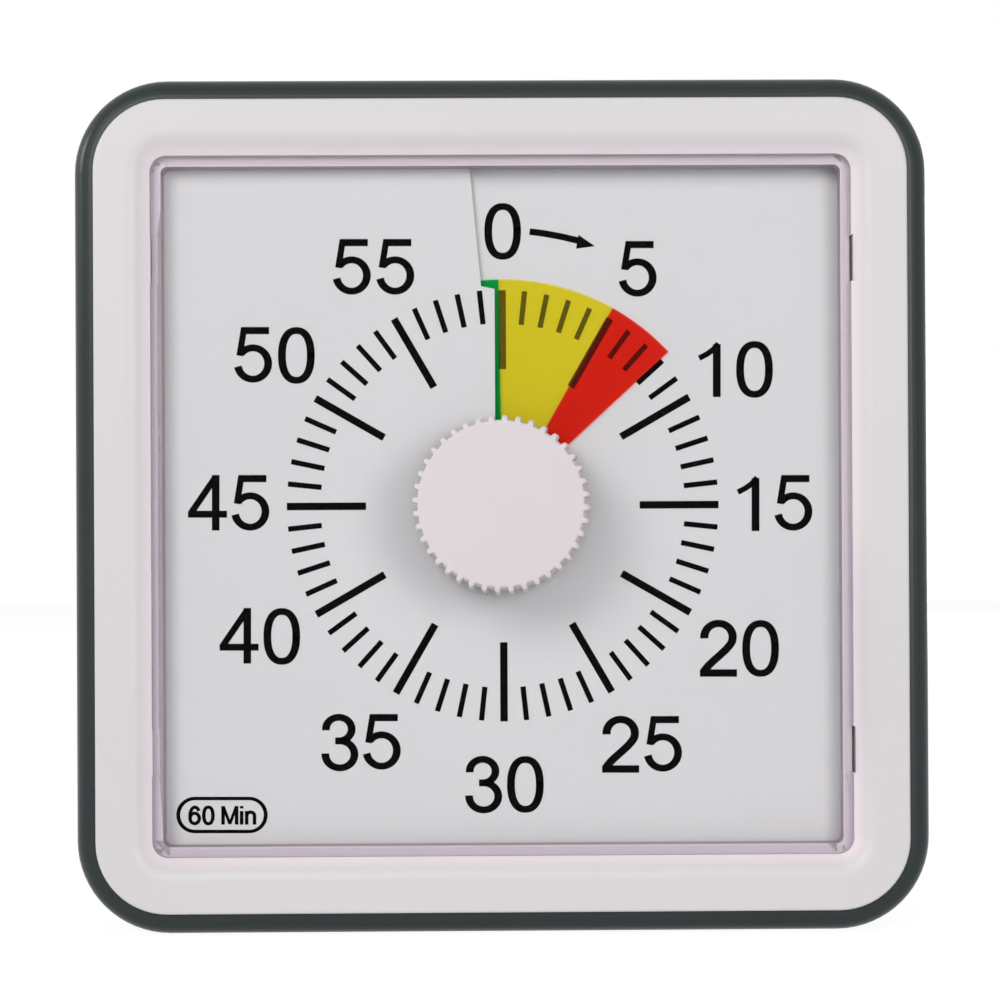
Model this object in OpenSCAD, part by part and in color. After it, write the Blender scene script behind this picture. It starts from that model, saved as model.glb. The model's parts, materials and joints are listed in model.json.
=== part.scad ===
// Visual countdown timer: a square desk and wall timer. A clear window covers a printed card,
// and a thin film disc winds out of a slit in that card as the ribbed knob is turned.
//
// Every piece is drawn in the dial's frame: x to the right, y up, z towards the reader, with
// z = 0 on the back face and the origin on the dial's axis. stand_up() sets it on its base.
// Angles on the dial run clockwise from the top, as the numbers do.

/* [Case] */
// Width and height of the rear housing
case_size = 190; // [186:1:200]
// Depth of the rear housing, from the back face to its front rim
case_depth = 30; // [29.5:0.5:36]
// Wall thickness of the rear housing
case_wall = 2.4; // [1.8:0.1:2.8]
// Radius of the housing's rounded front rim
rim_r = 4.6; // [3:0.1:4.6]
// Radius of the housing's rear edge
rear_edge_r = 2.5; // [1:0.1:3]

/* [Bezel] */
// Width of the housing rim that shows round the bezel
rim_band = 4.9; // [4.8:0.1:6]
// How far the bezel stands in front of the rim
bezel_proud = 1.5; // [0.8:0.1:3]
// Width of the bezel's face, from its outer edge to the window
bezel_face = 12.35; // [12:0.05:13]
// Wall thickness of the bezel
bezel_wall = 2; // [1.5:0.1:2.2]
// Width of the flat part of the bezel's face
bezel_flat = 7; // [5.5:0.1:7.4]
// Drop from the bezel's face to the window
bezel_drop = 2.5; // [1.5:0.1:2.6]
// Angle of the slope beside the window
slope_angle = 35; // [34:1:42]
// Depth of the dial well, from the window to the end of its wall
well_depth = 4.6; // [4.2:0.1:6]

/* [Window] */
// Thickness of the window
window_t = 2; // [1.5:0.1:2.5]
// Corner radius of the window
window_corner_r = 3.5; // [3:0.1:5]
// Height of the window's snap tabs
tab_h = 10.3; // [6:0.1:14]
// Height of the tabs' centres above and below the axis
tab_y = 54.7; // [40:0.1:65]

/* [Dial] */
// Thickness of the dial card
card_t = 0.4; // [0.3:0.05:0.5]
// Rise of the card and of the film in one turn
sheet_pitch = 1.6; // [1.5:0.1:2]
// Radius of the film disc
film_r = 51; // [46:0.5:58]
// Thickness of the film
film_t = 0.25; // [0.15:0.05:0.3]
// Degrees of film on the hub
film_span = 356; // [340:1:356]
// Minutes that the timer is set to
set_minutes = 7.67; // [0:0.01:60]
// Width of the seat under the card's edge
seat_w = 4; // [3:0.5:6]

/* [Knob] */
// Height of the knob
knob_h = 17.9; // [12:0.1:24]
// Radius of the knob's body at the base, between the ribs
knob_r = 19; // [17:0.1:22]
// How much narrower the knob's body is at the front
knob_draft = 1; // [0:0.1:2]
// Height of a rib
rib_h = 1.05; // [0.5:0.05:1.5]
// Number of ribs
rib_count = 40; // [24:1:48]
// Wall thickness of the knob
knob_wall = 2; // [1.5:0.1:3]
// Gap between the knob and the window
knob_gap = 0.7; // [0.5:0.1:1.5]

/* [Drive] */
// Radius of the spindle
spindle_r = 3; // [2.8:0.1:3.5]
// Outer radius of the disc hub
hub_r = 14; // [13.5:0.5:15]
// Width and height of the movement
movement_size = 54; // [52:1:58]
// Depth of the movement
movement_depth = 10.7; // [10.7:0.1:11]
// Thickness of the chassis plate
chassis_t = 2; // [1.5:0.1:2.5]
// Teeth on each wheel
wheel_teeth = 60; // [60:1:60]
// Teeth on each pinion
pinion_teeth = 12; // [12:1:12]

/* [Battery] */
// Radius of the cell
cell_r = 7.25; // [7:0.05:7.25]
// Length of the cell
cell_l = 50.5; // [48:0.5:52]
// Height of the cell above the axis
cell_y = 50; // [46:0.5:54]
// Thickness of the battery door
door_t = 1.6; // [1.4:0.1:1.8]

/* [Stand] */
// Width of the fold-out stand
stand_w = 46; // [30:1:56]
// Length of the stand from its hinge
stand_l = 56; // [40:1:56]
// Thickness of the stand
stand_t = 2.6; // [2:0.1:2.8]
// Radius of the stand's pin
pin_r = 1; // [0.8:0.05:1.1]

/* [Hanging] */
// Radius of the keyhole's entry
keyhole_r = 4.5; // [4:0.1:5]
// Width of the keyhole's slot
keyhole_slot = 4.4; // [3:0.1:4.8]

/* [Fits] */
// Radial clearance of a running shaft
run_gap = 0.05; // [0.03:0.01:0.08]
// Gap between pieces that drop into each other
seat_gap = 0.15; // [0.1:0.05:0.2]

/* [Hidden] */
$fn = 72;
cut = 0.1;          // how far a cutter passes a face

// Colours of the mouldings
white = "#dddbdc";
charcoal = "#2b2f30";

// Half sizes across the front. All corners are struck from the window corner's centre, and d
// is a distance outwards from that centre.
case_half = case_size / 2;
bezel_half = case_half - rim_band;
window_half = bezel_half - bezel_face;
corner_c = window_half - window_corner_r;
ledge_w = 2;
d_open = window_corner_r - ledge_w;
d_window = window_corner_r;
d_pocket = d_window + seat_gap;
d_bezel = bezel_half - corner_c;
d_case = case_half - corner_c;
d_skirt = d_bezel - bezel_wall;
open_half = window_half - ledge_w;

// Heights, from the front backwards
bezel_top = case_depth + bezel_proud;
window_top = bezel_top - bezel_drop;
window_low = window_top - window_t;
ledge_t = 1.6;
ledge_low = window_low - ledge_t;
well_low = window_low - well_depth;
card_gap = 0.2;
card_low = well_low - card_gap - card_t - sheet_pitch;   // underside of the card right of the slit
carrier_min = 1.6;
chassis_top = card_low - carrier_min;
chassis_low = chassis_top - chassis_t;
movement_low = chassis_low - movement_depth;
shelf_drop = 12;
shelf_top = case_depth - shelf_drop;
shelf_t = 2;
knob_low = window_top + knob_gap;
knob_top = knob_low + knob_h;
total_depth = knob_top;

// Well wall, card and seat
well_wall = 1.6;
card_half = open_half + well_wall + 0.55;
card_corner = card_half * 1.38;                          // how far the trimmed corner reaches
card_hole_r = hub_r + 2;
slit_x = 1.56;                                           // slit's edge, left of the axis
slit_far = 5.3;                                          // slit's angle beyond the film
slit_step = film_r - 1.8;                                // where the slit steps to the left
slit_step_half = 0.4;
card_step = 9;
film_step = 4;
film_low = card_low + (card_t - film_t + sheet_pitch) / 2;
set_angle = set_minutes * 6;

// Screws and pillars
pillar_r = 3.2;
pilot_r = 1.2;
screw_r = 1.2;
screw_head_r = 2.8;
screw_head_h = 2;
screw_gap = 0.35;
well_r = screw_head_r + screw_gap;
pillar_pos = corner_c + 7.2;
side_pillar_pos = corner_c + 8.8;
ear_r = 4.2;
boss_r = 4;
boss_top = 12;
boss_head_seat = 5.5;
pilot_depth = 8;

// Movement layout: modules and levels of the three meshes
m1 = 0.4;
m2 = 0.3;
m3 = 0.25;
mesh_teeth = (wheel_teeth + pinion_teeth) / 2;
third_dir = 150;                                         // directions of the arbors, anticlockwise from x
second_dir = 250;
rotor_dir = 290;
third_at = m1 * mesh_teeth * [cos(third_dir), sin(third_dir)];
second_at = third_at + m2 * mesh_teeth * [cos(second_dir), sin(second_dir)];
rotor_at = second_at + m3 * mesh_teeth * [cos(rotor_dir), sin(rotor_dir)];
third_turn = mesh_turn(third_dir, 0);
second_turn = mesh_turn(second_dir, third_turn);
rotor_turn = mesh_turn(rotor_dir, second_turn);
base_t = 1.6;
base_low = chassis_low - base_t;
cover_wall = 1.4;
cover_floor = movement_low + cover_wall;
wheel_t = 0.8;
level = 1.6;                                             // from one wheel to the next
centre_z = base_low - 0.6 - 1;                           // underside of each wheel
third_z = centre_z - level;
second_z = third_z - level;
rotor_z = second_z - 2.2;
magnet_t = 1.4;
magnet_r = 3.2;
arbor_r = 0.5;
pivot_in = 0.7;                                          // how deep a pivot sits in its plate
bush_r = 5;
bush_top = chassis_top + 2.3;
nut_t = 1.8;
nut_r = 8.4;
collar_r = 3.6;
lower_spindle_r = 2.2;
shoulder_z = centre_z + 1 + 0.02;
clutch_low = centre_z - 0.7;
spindle_top = knob_top - knob_wall - 4;
hub_travel = sheet_pitch * (360 - set_angle) / 360;      // towards the reader, at sixty minutes
hub_back = sheet_pitch * set_angle / 360;                // towards the back, at zero
hub_low = chassis_top + 0.15 + hub_back;
hub_web_t = 1.5;
hub_web_low = bush_top + 0.2 + hub_back;
hub_boss_r = 5;
hub_boss_top = hub_web_low + hub_web_t + 1;
stem_r = 6.5;
stem_low = hub_boss_top + hub_travel + 0.3;
window_hole_r = stem_r + 1;

// Battery bay
bay_gap = 0.45;
cell_z = door_t + 0.3 + cell_r;
spring_room = 5;
bay_half_l = (cell_l + spring_room + 1.5) / 2;
bay_half_h = cell_r + bay_gap;
bay_wall = 1.4;
bay_top = cell_z + cell_r + 0.2;
cell_x = (spring_room - 1.5) / 2;
door_half_l = bay_half_l + 3;
door_half_h = bay_half_h + 1.4;
door_gap = 0.25;
door_hinge_y = cell_y + door_half_h - door_t / 2;
lip_t = 1;
lip_w = 6;

// Stand pocket
hinge_y = -33;
barrel_r = pin_r + 0.85;
stand_back = 0.2;
hinge_z = stand_back + barrel_r;
pocket_gap = 0.6;
pocket_z = hinge_z + barrel_r + pocket_gap;
pocket_half_w = stand_w / 2 + pocket_gap;
pocket_top_y = hinge_y + barrel_r + 1;
pocket_low_y = hinge_y - stand_l - pocket_gap;
pocket_wall = 1.8;

// Hanging slot, switch, board and buzzer
keyhole_y = 76;
keyhole_rise = 8;
switch_x = 58;
switch_y = -12;
slider_travel = 3;
board_w = 36;
board_h = 30;
board_t = 1.6;
board_x = switch_x;
board_y = switch_y - 8;
switch_low = case_wall + 2.2;
switch_t = 3.6;
board_low = switch_low + switch_t;
post_r = 2.4;
post_dx = board_w / 2 - 3;
post_dy = board_h / 2 - 3;
buzzer_x = -58;
buzzer_y = -45;
buzzer_r = 13.5;
buzzer_t = 0.8;
sound_hole_r = 1.1;
sound_ring_r = 6;

// ---- Functions ----

// Turn of a gear that meshes with another one, seen from that one in direction dir
function mesh_turn(dir, other_turn, n_other = wheel_teeth, n_own = pinion_teeth) =
    dir + 180 + (dir - other_turn) * n_other / n_own - 180 / n_own;

// Outline of a gear with flat flanks, relieved so that it runs with backlash
function gear_outline(n, m) =
    let (pitch = 360 / n, r_root = m * (n / 2 - 1.2), r_tip = m * (n / 2 + 0.75))
    [for (i = [0:n - 1], p = [[-0.24, r_root], [-0.09, r_tip], [0.09, r_tip], [0.24, r_root]])
        p[1] * [cos((i + p[0]) * pitch), sin((i + p[0]) * pitch)]];

// Reach of the card's trimmed square outline at a dial angle
function square_reach(a, half) = min(half / max(abs(sin(a)), abs(cos(a))), card_corner);

// Dial angle of the slit's edge at radius r
function slit_angle(r) = r < slit_step ? -asin(slit_x / r) : -slit_far;

// One row of the card's grid: radius and dial angle at each column, from one side of the slit to the other
function card_row(r, start, gap = 0) =
    [for (k = [0:360 / card_step])
        [r, k == 0 ? start : k * card_step < 360 ? k * card_step : 360 + start - gap]];
function edge_row(half, gap = 0) =
    [for (p = card_row(0, -slit_far, gap)) [square_reach(p[1], half), p[1]]];

// ---- Building blocks ----

// A square with round corners, centred on the axis
module soft_square(half, r) {
    square([2 * half, 2 * (half - r)], center = true);
    square([2 * (half - r), 2 * half], center = true);
    for (x = [-1, 1], y = [-1, 1]) translate([x, y] * (half - r)) circle(r);
}

// A profile of (d, z) swept round the case through its four concentric corners
module round_the_case() {
    for (q = [0:3]) rotate(90 * q) {
        translate([corner_c, corner_c]) rotate_extrude(angle = 90) children();
        translate([corner_c, corner_c]) rotate([90, 0, 0]) linear_extrude(2 * corner_c) children();
    }
}

// A sheet that climbs sheet_pitch in one turn. grid holds rows of [radius, dial angle].
module spiral_sheet(grid, low, thick, flat_low = false) {
    rows = len(grid);
    cols = len(grid[0]);
    function at(side, i, j) = (side * rows + i) * cols + j;
    points = [for (side = [0, 1], row = grid, p = row)
        [p[0] * sin(p[1]), p[0] * cos(p[1]),
            side == 0 && flat_low ? chassis_top : low + sheet_pitch * p[1] / 360 + side * thick]];
    quads = concat(
        [for (i = [0:rows - 2], j = [0:cols - 2]) [at(1, i, j), at(1, i + 1, j), at(1, i + 1, j + 1), at(1, i, j + 1)]],
        [for (i = [0:rows - 2], j = [0:cols - 2]) [at(0, i, j + 1), at(0, i + 1, j + 1), at(0, i + 1, j), at(0, i, j)]],
        [for (j = [0:cols - 2]) [at(0, 0, j), at(1, 0, j), at(1, 0, j + 1), at(0, 0, j + 1)]],
        [for (j = [0:cols - 2]) let (i = rows - 1) [at(0, i, j + 1), at(1, i, j + 1), at(1, i, j), at(0, i, j)]],
        [for (i = [0:rows - 2]) [at(0, i + 1, 0), at(1, i + 1, 0), at(1, i, 0), at(0, i, 0)]],
        [for (i = [0:rows - 2]) let (j = cols - 1) [at(0, i, j), at(1, i, j), at(1, i + 1, j), at(0, i + 1, j)]]);
    polyhedron(points, [for (q = quads, f = [[q[0], q[1], q[2]], [q[0], q[2], q[3]]]) f]);
}

// A self-tapping screw with its head at the back and its point towards the reader
module screw(head_seat, tip) {
    translate([0, 0, head_seat - screw_head_h]) difference() {
        cylinder(r = screw_head_r, h = screw_head_h);
        for (a = [0, 90]) rotate(a) translate([-1.6, -0.35, -cut]) cube([3.2, 0.7, 1 + cut]);
    }
    translate([0, 0, head_seat]) cylinder(r = screw_r, h = tip - head_seat);
}

module tube(r_out, r_in, low, high) {
    translate([0, 0, low]) difference() {
        cylinder(r = r_out, h = high - low);
        translate([0, 0, -cut]) cylinder(r = r_in, h = high - low + 2 * cut);
    }
}

module block(x, y, low, high) {
    translate([-x / 2, -y / 2, low]) cube([x, y, high - low]);
}

module at_pillars() {
    for (x = [-1, 1], y = [-1, 1]) translate([x, y] * pillar_pos) children();
}

module at_side_pillars() {
    for (q = [0:3]) rotate(90 * q) translate([side_pillar_pos, 0]) children();
}

module stand_up() {
    translate([0, total_depth / 2, case_half]) rotate([90, 0, 0]) children();
}

// ---- Front ----

slope_w = d_bezel - bezel_flat - d_pocket;
slope_drop = bezel_top - window_top;
roll_r = (slope_w * sin(slope_angle) - slope_drop * cos(slope_angle)) / (1 - cos(slope_angle));
roll_steps = 6;
bezel_edge_r = 0.6;

module bezel_profile() {
    d_roll = d_pocket + slope_w;
    polygon(concat(
        [[d_open, well_low], [d_open, window_low], [d_pocket, window_low], [d_pocket, window_top]],
        [for (i = [0:roll_steps]) let (a = slope_angle * (1 - i / roll_steps))
            [d_roll - roll_r * sin(a), bezel_top - roll_r * (1 - cos(a))]],
        [for (a = [0:30:90]) [d_bezel - bezel_edge_r * (1 - sin(a)), bezel_top - bezel_edge_r * (1 - cos(a))]],
        [[d_bezel, shelf_top], [d_skirt, shelf_top], [d_skirt, bezel_top - bezel_wall],
         [d_roll, bezel_top - bezel_wall], [d_pocket + bezel_wall, window_top - 0.6],
         [d_pocket + bezel_wall, ledge_low], [d_open + well_wall, ledge_low], [d_open + well_wall, well_low]]));
}

module at_tabs() {
    for (x = [-1, 1], y = [-1, 1]) translate([0, y * tab_y, 0]) scale([x, 1, 1]) translate([corner_c, 0]) children();
}

tab_t = 1.1;
tab_gap = 0.2;
notch_w = 0.7;

module front_bezel() {
    color(white) difference() {
        union() {
            round_the_case() bezel_profile();
            at_pillars() translate([0, 0, boss_top]) cylinder(r = pillar_r, h = bezel_top - bezel_wall - boss_top + 0.5);
            at_side_pillars() translate([0, 0, chassis_top]) cylinder(r = pillar_r, h = bezel_top - bezel_wall - chassis_top + 0.5);
        }
        at_pillars() translate([0, 0, boss_top - cut]) cylinder(r = pilot_r, h = pilot_depth + cut);
        at_side_pillars() translate([0, 0, chassis_top - cut]) cylinder(r = pilot_r, h = pilot_depth + cut);
        for (x = [-1, 1], y = [-1, 1])
            translate([x * (corner_c + d_window - tab_t / 2), y * tab_y, 0])
                block(tab_t + 2 * tab_gap, tab_h, ledge_low - 2 * tab_gap - hook_t, window_low + cut);
        for (x = [-1, 1], y = [-1, 1])
            translate([x * (corner_c + d_pocket + notch_w / 2 - cut), y * tab_y, 0])
                block(notch_w + 2 * cut, tab_h, ledge_low - cut, bezel_top);
    }
}

hook_out = 0.6;
hook_t = 0.9;

module window() {
    color("#e8eef0", 0.3) {
        difference() {
            translate([0, 0, window_low]) linear_extrude(window_t) soft_square(window_half, window_corner_r);
            translate([0, 0, window_low - cut]) cylinder(r = window_hole_r, h = window_t + 2 * cut);
        }
        for (x = [-1, 1], y = [-1, 1]) translate([x * (corner_c + d_window - tab_t / 2), y * tab_y, 0]) {
            block(tab_t, tab_h - 2 * tab_gap, ledge_low - tab_gap - hook_t, window_low);
            translate([x * hook_out / 2, 0, 0])
                block(tab_t + hook_out, tab_h - 2 * tab_gap, ledge_low - tab_gap - hook_t, ledge_low - tab_gap);
        }
    }
}

// ---- Dial ----

card_grid = [card_row(card_hole_r, slit_angle(card_hole_r)),
             card_row(slit_step - slit_step_half, slit_angle(slit_step - slit_step_half)),
             card_row(slit_step + slit_step_half, -slit_far),
             edge_row(card_half - seat_w),
             edge_row(card_half)];

module dial_card() {
    color("#d6d6d8") spiral_sheet(card_grid, card_low, card_t);
}

// The carrier's top is the card's underside, so the card lies on it all the way round
module card_carrier() {
    end_gap = 2;
    color(white) spiral_sheet([edge_row(card_half - seat_w, end_gap), edge_row(card_half, end_gap)],
        card_low, 0, flat_low = true);
}

module dial_chassis() {
    bay_hole = [2 * (bay_half_l + bay_wall) + 1, 2 * (bay_half_h + bay_wall) + 1];
    color(white) difference() {
        translate([0, 0, chassis_low]) linear_extrude(chassis_t) difference() {
            union() {
                square(2 * card_half + 1, center = true);
                at_side_pillars() {
                    circle(ear_r);
                    translate([-ear_r - 4, -ear_r]) square([ear_r + 4, 2 * ear_r]);
                }
            }
            translate([0, cell_y]) square(bay_hole, center = true);
            for (x = [-1, 1], y = [-1, 1]) translate([x * 52, y < 0 ? -52 : 14]) square([30, 40], center = true);
        }
        translate([0, 0, chassis_low - cut]) cylinder(r = bush_r + seat_gap, h = chassis_t + 2 * cut);
        at_side_pillars() translate([0, 0, chassis_low - cut]) cylinder(r = screw_r + 0.2, h = chassis_t + 2 * cut);
    }
}

module chassis_screws() {
    color("#9a9da0") at_side_pillars() screw(chassis_low, chassis_top + pilot_depth - 1);
}

film_grid = [for (r = [hub_r / cos(film_step / 2), film_r])
    [for (k = [0:ceil(film_span / film_step)]) [r, set_angle - film_span + k * film_span / ceil(film_span / film_step)]]];

module time_disc() {
    color("#1f8a42") spiral_sheet(film_grid, film_low, film_t);
}

// ---- Drive ----

module disc_hub() {
    color("#e6e6e6") {
        difference() {
            translate([0, 0, hub_low]) cylinder(r = hub_r, h = hub_web_low + hub_web_t - hub_low);
            translate([0, 0, hub_low - cut]) cylinder(r = hub_r - 2.4, h = hub_web_low - hub_low + cut);
            translate([0, 0, hub_low - cut]) cylinder(r = spindle_r + run_gap, h = 20);
        }
        tube(hub_boss_r, spindle_r + run_gap, hub_web_low + hub_web_t - 0.5, hub_boss_top);
    }
}

module spindle() {
    color("#c9a64a") {
        translate([0, 0, shoulder_z]) cylinder(r = spindle_r, h = spindle_top - shoulder_z);
        translate([0, 0, clutch_low - 0.8]) cylinder(r = lower_spindle_r, h = shoulder_z - clutch_low + 0.8);
        translate([0, 0, clutch_low - 0.8]) cylinder(r = collar_r, h = 0.8);
        translate([0, 0, cover_floor - pivot_in]) cylinder(r = 1.2, h = clutch_low - cover_floor + pivot_in);
    }
}

module clutch_spring() {
    color("#b8bcc0") rotate_extrude() polygon([
        [lower_spindle_r + 0.1, clutch_low], [collar_r - 0.2, clutch_low], [5, centre_z - 0.25],
        [5, centre_z - 0.02], [4.7, centre_z - 0.02], [lower_spindle_r + 0.1, clutch_low + 0.3]]);
}

// Rib outline: [share of the rib pitch, share of the rib's height]
rib_shape = [[-0.25, 0], [-0.18, 0.68], [-0.07, 1], [0.07, 1], [0.18, 0.68], [0.25, 0]];
knob_edge_r = 1.6;
// Rows from base to face: [height, inset of the body, share of the rib's height]
knob_rows = [[0, 0, 1], [knob_h - knob_edge_r - 1.2, knob_draft, 1], [knob_h - knob_edge_r, knob_draft, 0.85],
             [knob_h - 0.47 * knob_edge_r, knob_draft + 0.15 * knob_edge_r, 0.45],
             [knob_h - 0.13 * knob_edge_r, knob_draft + 0.5 * knob_edge_r, 0.1], [knob_h, knob_draft + knob_edge_r, 0]];

module knob_body() {
    per_row = rib_count * len(rib_shape);
    ring = [for (row = knob_rows, i = [0:rib_count - 1], s = rib_shape)
        let (a = (i + s[0]) * 360 / rib_count, r = knob_r - row[1] + s[1] * row[2] * rib_h)
        [r * cos(a), r * sin(a), knob_low + row[0]]];
    caps = [[0, 0, knob_low], [0, 0, knob_top]];
    last = len(knob_rows) - 1;
    function next(k) = (k + 1) % per_row;
    polyhedron(concat(ring, caps), concat(
        [for (j = [0:last - 1], k = [0:per_row - 1], f = [
            [j * per_row + k, (j + 1) * per_row + k, (j + 1) * per_row + next(k)],
            [j * per_row + k, (j + 1) * per_row + next(k), j * per_row + next(k)]]) f],
        [for (k = [0:per_row - 1]) [len(ring), k, next(k)]],
        [for (k = [0:per_row - 1]) [len(ring) + 1, last * per_row + next(k), last * per_row + k]]));
}

module knob() {
    hollow_r = knob_r - knob_draft - knob_wall;
    color(white) {
        difference() {
            knob_body();
            tube(hollow_r, stem_r, knob_low - cut, knob_top - knob_wall);
            translate([0, 0, knob_low - cut]) cylinder(r = spindle_r, h = spindle_top - knob_low + cut);
        }
        tube(stem_r, spindle_r, stem_low, knob_low + 1);
        for (a = [0:60:300]) rotate(a) translate([stem_r - 0.3, -0.6, knob_low + 3])
            cube([hollow_r - stem_r + 0.6, 1.2, knob_h - 3 - knob_wall + 0.3]);
    }
}

module mounting_nut() {
    color("#c9a64a") difference() {
        translate([0, 0, chassis_top]) cylinder(r = nut_r, h = nut_t, $fn = 6);
        translate([0, 0, chassis_top - cut]) cylinder(r = bush_r, h = nut_t + 2 * cut);
    }
}

module centre_bush() {
    color("#c9a64a") {
        tube(bush_r, spindle_r + run_gap, base_low, bush_top);
        tube(bush_r + 1.5, spindle_r + run_gap, base_low - 0.4, base_low);
    }
}

// ---- Movement ----

module arbor_hole(at, low, r = arbor_r) {
    translate([at[0], at[1], low]) cylinder(r = r + run_gap, h = pivot_in + 0.05);
}

module movement_base() {
    color("#2a2c2e") difference() {
        translate([0, 0, base_low]) linear_extrude(base_t) soft_square(movement_size / 2, 3);
        translate([0, 0, base_low - cut]) cylinder(r = bush_r, h = base_t + 2 * cut);
        for (p = [third_at, second_at, rotor_at]) arbor_hole(p, base_low - 0.05);
    }
}

module movement_cover() {
    color("#2a2c2e") {
        difference() {
            translate([0, 0, movement_low]) linear_extrude(base_low - movement_low) soft_square(movement_size / 2, 3);
            translate([0, 0, cover_floor]) linear_extrude(base_low - cover_floor + cut)
                soft_square(movement_size / 2 - cover_wall, 3 - cover_wall);
            for (p = [third_at, second_at, rotor_at]) arbor_hole(p, cover_floor - pivot_in);
            arbor_hole([0, 0], cover_floor - pivot_in, 1.2);
        }
        for (p = stator_posts) translate([p[0], p[1], cover_floor - 0.5]) cylinder(r = 1.4, h = stator_z - cover_floor + 0.5);
    }
}

module gear(n, m, low, high) {
    translate([0, 0, low]) linear_extrude(high - low) polygon(gear_outline(n, m));
}

module arbor(at, turn) {
    translate([at[0], at[1], 0]) rotate(turn) {
        translate([0, 0, cover_floor - pivot_in]) cylinder(r = arbor_r, h = base_low - cover_floor + 2 * pivot_in);
        children();
    }
}

module centre_wheel() {
    color("#e9e4d4") difference() {
        union() {
            gear(wheel_teeth, m1, centre_z + 0.2, centre_z + 1);
            tube(5.4, lower_spindle_r + run_gap, centre_z, centre_z + 1);
        }
        translate([0, 0, centre_z - cut]) cylinder(r = lower_spindle_r + run_gap, h = 2);
        for (a = [0:60:300]) rotate(a) translate([8.3, 0, centre_z - cut]) cylinder(r = 1.9, h = 2);
    }
}

module third_wheel() {
    color("#e9e4d4") arbor(third_at, third_turn) {
        gear(pinion_teeth, m1, third_z + wheel_t - 0.01, base_low - 0.3);
        gear(wheel_teeth, m2, third_z, third_z + wheel_t);
    }
}

module second_wheel() {
    color("#e9e4d4") arbor(second_at, second_turn) {
        gear(pinion_teeth, m2, second_z + wheel_t - 0.01, third_z + wheel_t + 0.3);
        gear(wheel_teeth, m3, second_z, second_z + wheel_t);
    }
}

module rotor_pinion() {
    color("#e9e4d4") arbor(rotor_at, rotor_turn)
        gear(pinion_teeth, m3, rotor_z + magnet_t, second_z + wheel_t + 0.3);
}

module rotor_magnet() {
    color("#55585c") translate([rotor_at[0], rotor_at[1], 0]) tube(magnet_r, arbor_r, rotor_z, rotor_z + magnet_t);
}

coil_at = [5, -21];
coil_l = 24;
winding_r = 2.1;
bobbin_r = 1.3;
flange_l = 1;
core_t = 0.8;
core_w = 2.2;
stator_z = rotor_z + (magnet_t - core_t) / 2;
coil_z = stator_z + 1.5 * core_t;                        // the core lies on the stator's feet

module along_x(l) {
    translate([-l / 2, 0, 0]) rotate([0, 90, 0]) children();
}

module coil_bobbin() {
    color("#f0ede2") translate([coil_at[0], coil_at[1], coil_z]) difference() {
        union() {
            along_x(coil_l) cylinder(r = bobbin_r, h = coil_l);
            for (x = [-1, 1]) translate([x * (coil_l - flange_l) / 2, 0, 0])
                cube([flange_l, 3.2 * winding_r, 2 * winding_r], center = true);
        }
        cube([coil_l + 1, core_w, core_t], center = true);
    }
}

module coil_winding() {
    color("#b5672d") translate([coil_at[0], coil_at[1], coil_z]) along_x(coil_l - 2 * flange_l)
        tube(winding_r, bobbin_r, 0, coil_l - 2 * flange_l);
}

stator_leg = 3.4;
stator_left = rotor_at[0];
stator_right = coil_at[0] + coil_l / 2 + 3;
stator_posts = [[stator_left, coil_at[1]], [stator_right, coil_at[1]], [stator_right, rotor_at[1]]];

// A lamination with a ring round the rotor and a foot on each side, and the coil's core across the feet
module stator() {
    leg = stator_leg;
    rise = rotor_at[1] - coil_at[1];
    arm = stator_right - rotor_at[0] - magnet_r - 0.8;
    color("#8d9196") {
        translate([0, 0, stator_z]) linear_extrude(core_t) difference() {
            union() {
                translate(rotor_at) circle(magnet_r + 2.2);
                translate([stator_left - leg / 2, coil_at[1] - leg / 2]) square([leg, rise]);
                translate([stator_right - leg / 2, coil_at[1] - leg / 2]) square([leg, rise + leg]);
                translate([stator_right - arm, rotor_at[1] - leg / 2]) square([arm, leg]);
            }
            translate(rotor_at) circle(magnet_r + 0.4);
        }
        translate([stator_left - leg / 2, coil_at[1] - core_w / 2, stator_z + core_t])
            cube([stator_right - stator_left + leg, core_w, core_t]);
    }
}

// ---- Back ----

module case_profile() {
    d_rim = d_bezel + seat_gap;
    d_in = d_case - case_wall;
    rim_low = case_depth - case_wall - 1;
    polygon(concat(
        [[0, 0]],
        [for (a = [0:15:90]) [d_case - rear_edge_r * (1 - sin(a)), rear_edge_r * (1 - cos(a))]],
        [for (a = [0:10:90]) [d_case - rim_r * (1 - cos(a)), case_depth - rim_r * (1 - sin(a))]],
        [[d_rim, case_depth], [d_rim, rim_low], [d_in, rim_low - (d_in - d_rim)],
         [d_in, shelf_top], [d_skirt - 0.2, shelf_top], [d_skirt - 0.2, shelf_top - shelf_t],
         [d_in, shelf_top - shelf_t], [d_in, case_wall], [0, case_wall]]));
}

module keyhole(low, high, grow = 0) {
    translate([0, keyhole_y, low]) {
        cylinder(r = keyhole_r + grow, h = high - low);
        translate([0, keyhole_rise, 0]) cylinder(r = keyhole_slot / 2 + grow, h = high - low);
        translate([-keyhole_slot / 2 - grow, 0, 0]) cube([keyhole_slot + 2 * grow, keyhole_rise, high - low]);
    }
}

module pocket(low, high, grow = 0) {
    translate([-pocket_half_w - grow, pocket_low_y - grow, low])
        cube([2 * (pocket_half_w + grow), pocket_top_y - pocket_low_y + 2 * grow, high - low]);
}

module at_cell() {
    translate([0, cell_y, 0]) children();
}

module at_posts() {
    for (x = [-1, 1], y = [-1, 1]) translate([board_x + x * post_dx, board_y + y * post_dy, 0]) children();
}

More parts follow.
